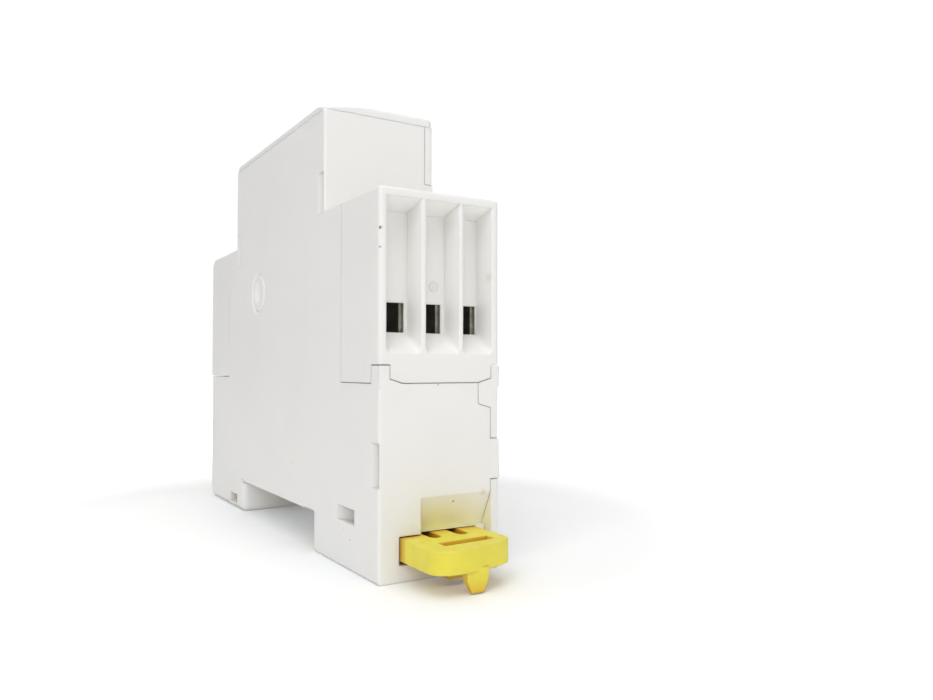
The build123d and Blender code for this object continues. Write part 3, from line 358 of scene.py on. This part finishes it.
def cage_steel(name):
    """Zinc plated clamp: a painted highlight makes the sheared edges facing the two ends bright,
    and painted shade makes the inside dark.
    """
    net = Net(name)
    lit_front_band = net.in_either(net.axis("Y"), ((-36.0, -35.36), (37.11, 38.0)), soft=0.02)
    cloud = net.noise(scale=500.0, detail=3.0, rough=0.6)
    lines = net.noise(scale=1500.0, detail=3.0, rough=0.65, stretch=(1, 1, 8))
    # painted shade inside; the lighter copy below is the painted highlight on the front edges
    shaded_steel = net.mix(net.ramp(cloud, span=(0.3, 0.7)),
                   under=(0.14, 0.135, 0.105), over=(0.22, 0.21, 0.17))
    lit_steel = net.mix(net.ramp(cloud, span=(0.35, 0.65)),
                     under=(0.30, 0.29, 0.22), over=(0.62, 0.60, 0.52))
    net.set("Base Color", net.mix(lit_front_band, shaded_steel, lit_steel))
    net.set("Metallic", net.ramp(lit_front_band, span=(0.0, 1.0), to=(0.75, 0.35)))
    net.set("Roughness", net.ramp(lines, span=(0.25, 0.75), to=(0.32, 0.55)))
    net.bump(lines, strength=0.2, distance=0.01, bevel=0.12)
    return net.material


# ------------------------------------------------------------------ materials
# slot name: (maker, its settings)
RECIPES = {
    "housing_white": (plastic, dict(base=(0.885, 0.877, 0.855), rough=0.46, variation=0.008,
                                    scatter=0.12, bevel=0.26, marks_and_light=housing_painted_light_and_specks)),
    "cap_white": (plastic, dict(base=(0.88, 0.878, 0.865), rough=0.34, variation=0.008,
                                grain=0.18, grain_scale=1800.0, scatter=0.12)),
    "clip_yellow": (yellow_clip, dict(base=(0.83, 0.735, 0.070))),
    "toggle_dark": (plastic, dict(base=(0.035, 0.035, 0.038), rough=0.38, variation=0.1,
                                  edge_light=0.25, crease_shade_and_dirt=0.3)),
    "partition_grey": (plastic, dict(base=(0.55, 0.55, 0.53), rough=0.5)),
    "carrier_black": (plastic, dict(base=(0.03, 0.03, 0.03), rough=0.5, variation=0.1,
                                    edge_light=0.2)),
    "trip_plastic": (plastic, dict(base=(0.25, 0.07, 0.03), rough=0.45, variation=0.08,
                                   edge_light=0.2)),
    "bobbin_plastic": (plastic, dict(base=(0.06, 0.05, 0.045), rough=0.5, variation=0.1)),
    "fibre_board": (plastic, dict(base=(0.30, 0.10, 0.05), rough=0.7, variation=0.1,
                                  grain=0.6, grain_scale=900.0)),
    "zinc_steel": (metal, dict(base=(0.72, 0.72, 0.70), rough=0.28)),
    "spring_steel": (metal, dict(base=(0.55, 0.55, 0.56), rough=0.3, brush=(6, 6, 6))),
    "soft_iron": (metal, dict(base=(0.40, 0.40, 0.41), rough=0.42)),
    "copper": (metal, dict(base=(0.80, 0.40, 0.24), rough=0.3)),
    "tinned_copper": (metal, dict(base=(0.74, 0.68, 0.60), rough=0.36)),
    "enamel_copper": (metal, dict(base=(0.48, 0.15, 0.06), rough=0.22)),
    "silver_tip": (metal, dict(base=(0.86, 0.85, 0.82), rough=0.25)),
    "bimetal": (metal, dict(base=(0.62, 0.58, 0.52), rough=0.33)),
}


def dress(obj, material):
    """Puts the material in every slot of the mesh and of the object."""
    mesh_materials = obj.data.materials
    if not mesh_materials:
        mesh_materials.append(material)
    for i in range(len(mesh_materials)):
        mesh_materials[i] = material
    for slot in obj.material_slots:
        slot.material = material


materials = {name: make(name, **settings) for name, (make, settings) in RECIPES.items()}
cage_material = cage_steel("cage_steel")
for name, obj in nodes.items():
    dress(obj, cage_material if "_cage_" in name else materials[slot_of[name]])


# ------------------------------------------------------------------ soft braids
# Each braid is copied into a new object and the imported one is hidden; on the real breaker one
# end stays with its fixed part, the other follows the moving one.
# The phase braid is cut in two at this height, and both halves meet the housing there.
PHASE_SPLIT_Z = 33.0


def cut_level(mesh, height, keep_above):
    """Cuts the mesh at a height, keeps one side and closes the cut."""
    work = bmesh.new()
    work.from_mesh(mesh)
    cut = bmesh.ops.bisect_plane(
        work, geom=work.verts[:] + work.edges[:] + work.faces[:],
        plane_co=(0, 0, height * MM), plane_no=(0, 0, 1),
        clear_outer=not keep_above, clear_inner=keep_above)
    rim = [item for item in cut["geom_cut"] if isinstance(item, bmesh.types.BMEdge)]
    bmesh.ops.holes_fill(work, edges=rim, sides=0)
    work.to_mesh(mesh)
    work.free()


def soft_piece(name, node, keep_above=None):
    """A copy of the node as a new object, cut at the split height when keep_above is given."""
    mesh = nodes[node].data.copy()
    mesh.transform(nodes[node].matrix_world)
    if keep_above is not None:
        cut_level(mesh, PHASE_SPLIT_Z, keep_above)
    piece = bpy.data.objects.new(name, mesh)
    scene.collection.objects.link(piece)
    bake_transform(piece)
    return piece


phase_top = soft_piece("phase_braid_top", "phase_braid",
                       keep_above=True)
phase_low = soft_piece("phase_braid_low", "phase_braid",
                       keep_above=False)
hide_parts("phase_braid")
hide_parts("phase_braid")
neutral = soft_piece("neutral_braid_soft", "neutral_braid")
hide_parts("neutral_braid")

# ------------------------------------------------------------------ floor
FLOOR_Z = -5.64
FLOOR_HALF = 3000.0


def floor_paper(name):
    """Near-white paper with a soft contact shadow."""
    net = Net(name)
    fibre = net.noise(scale=300.0, detail=3.0, rough=0.6)
    net.set("Roughness", 0.85)
    contact = net.ramp(net.occlusion(distance=22.0, samples=8), span=(0.10, 0.80),
                       to=(0.66, 0.0))
    paper = net.mix(net.ramp(fibre, span=(0.3, 0.7)),
                    under=(0.90, 0.90, 0.90), over=(0.93, 0.93, 0.93))
    net.set("Base Color", net.mix(contact, paper, over=(0.66, 0.69, 0.73)))
    net.set("Emission Color", WHITE)
    # away from the object the floor fades to plain white, for camera rays only
    from_centre = net.node("ShaderNodeVectorMath", {0: net.coords}, operation="LENGTH")
    far_off = net.ramp_mm(from_centre.outputs["Value"], span=(55, 160), to=(0.04, 1.0))
    camera_ray = net.node("ShaderNodeLightPath").outputs["Is Camera Ray"]
    fade_glow, base_glow = 1.0, 0.08  # emission of the full fade, and everywhere
    net.set("Emission Strength",
            net.math("ADD", net.mul(far_off, camera_ray, fade_glow), base_glow))
    return net.material


def build_floor():
    work = bmesh.new()
    for x, y in ((-1, -1), (1, -1), (1, 1), (-1, 1)):
        work.verts.new((x * FLOOR_HALF * MM, y * FLOOR_HALF * MM, FLOOR_Z * MM))
    work.faces.new(work.verts)
    mesh = bpy.data.meshes.new("floor")
    work.to_mesh(mesh)
    work.free()
    floor = bpy.data.objects.new("floor", mesh)
    scene.collection.objects.link(floor)
    mesh.materials.append(floor_paper("floor_paper"))


build_floor()


# ------------------------------------------------------------------ light
def build_world(light, backdrop):
    """White surroundings: one strength lights the scene, the other is seen by the camera."""
    world = bpy.data.worlds.new("studio")
    scene.world = world
    world.use_nodes = True
    tree = world.node_tree
    tree.nodes.clear()
    lighting, seen = [
        add_node(tree, "ShaderNodeBackground", {"Color": WHITE, "Strength": strength}).outputs[0]
        for strength in (light, backdrop)]
    camera_ray = add_node(tree, "ShaderNodeLightPath").outputs["Is Camera Ray"]
    mixed = add_node(tree, "ShaderNodeMixShader", {0: camera_ray, 1: lighting, 2: seen})
    add_node(tree, "ShaderNodeOutputWorld", {0: mixed.outputs[0]})


# square area lights, in metres and watts: (name, place, aim, side, power)
LIGHTS = (
    ("front_high", (0.0, -0.30, 0.45), (0, -0.02, 0.03), 0.3, 0.34),
    ("front_low", (0.0, -0.52, 0.08), (0, -0.02, 0.03), 0.35, 0.36),
    ("front_left", (-0.35, -0.30, 0.40), (0, 0, 0.03), 0.35, 1.20),
    ("top", (0.0, 0.05, 0.60), (0, 0, 0.03), 0.6, 1.55),
)


def area_light(name, place, aim, side, power):
    data = bpy.data.lights.new(name, "AREA")
    data.shape = "RECTANGLE"
    data.size = data.size_y = side
    data.energy = power
    lamp = bpy.data.objects.new(name, data)
    lamp.location = place
    lamp.rotation_euler = (Vector(aim) - Vector(place)).to_track_quat("-Z", "Y").to_euler()
    scene.collection.objects.link(lamp)


build_world(light=0.32, backdrop=1.05)
for light in LIGHTS:
    area_light(*light)


# ------------------------------------------------------------------ camera
def build_camera(place, yaw, pitch, roll, lens):
    """Place in metres, angles in degrees; yaw turns from +y towards +x."""
    yaw, pitch, roll = math.radians(yaw), math.radians(pitch), math.radians(roll)
    ahead = Vector((math.sin(yaw) * math.cos(pitch), math.cos(yaw) * math.cos(pitch),
                    math.sin(pitch)))
    level = Vector((math.cos(yaw), -math.sin(yaw), 0.0))
    upright = level.cross(ahead)
    right = level * math.cos(roll) + upright * math.sin(roll)
    up = upright * math.cos(roll) - level * math.sin(roll)
    data = bpy.data.cameras.new("camera")
    data.sensor_width = 36.0
    data.lens = lens
    data.clip_start = 0.005
    camera = bpy.data.objects.new("camera", data)
    rows = [(right[i], up[i], -ahead[i], place[i]) for i in range(3)]
    camera.matrix_world = Matrix((*rows, (0, 0, 0, 1)))
    scene.collection.objects.link(camera)
    scene.camera = camera


build_camera(place=(-0.05079, -0.12721, 0.02135), yaw=32.07, pitch=1.30, roll=0.07,
             lens=29.90315)
scene.view_settings.view_transform = "Standard"
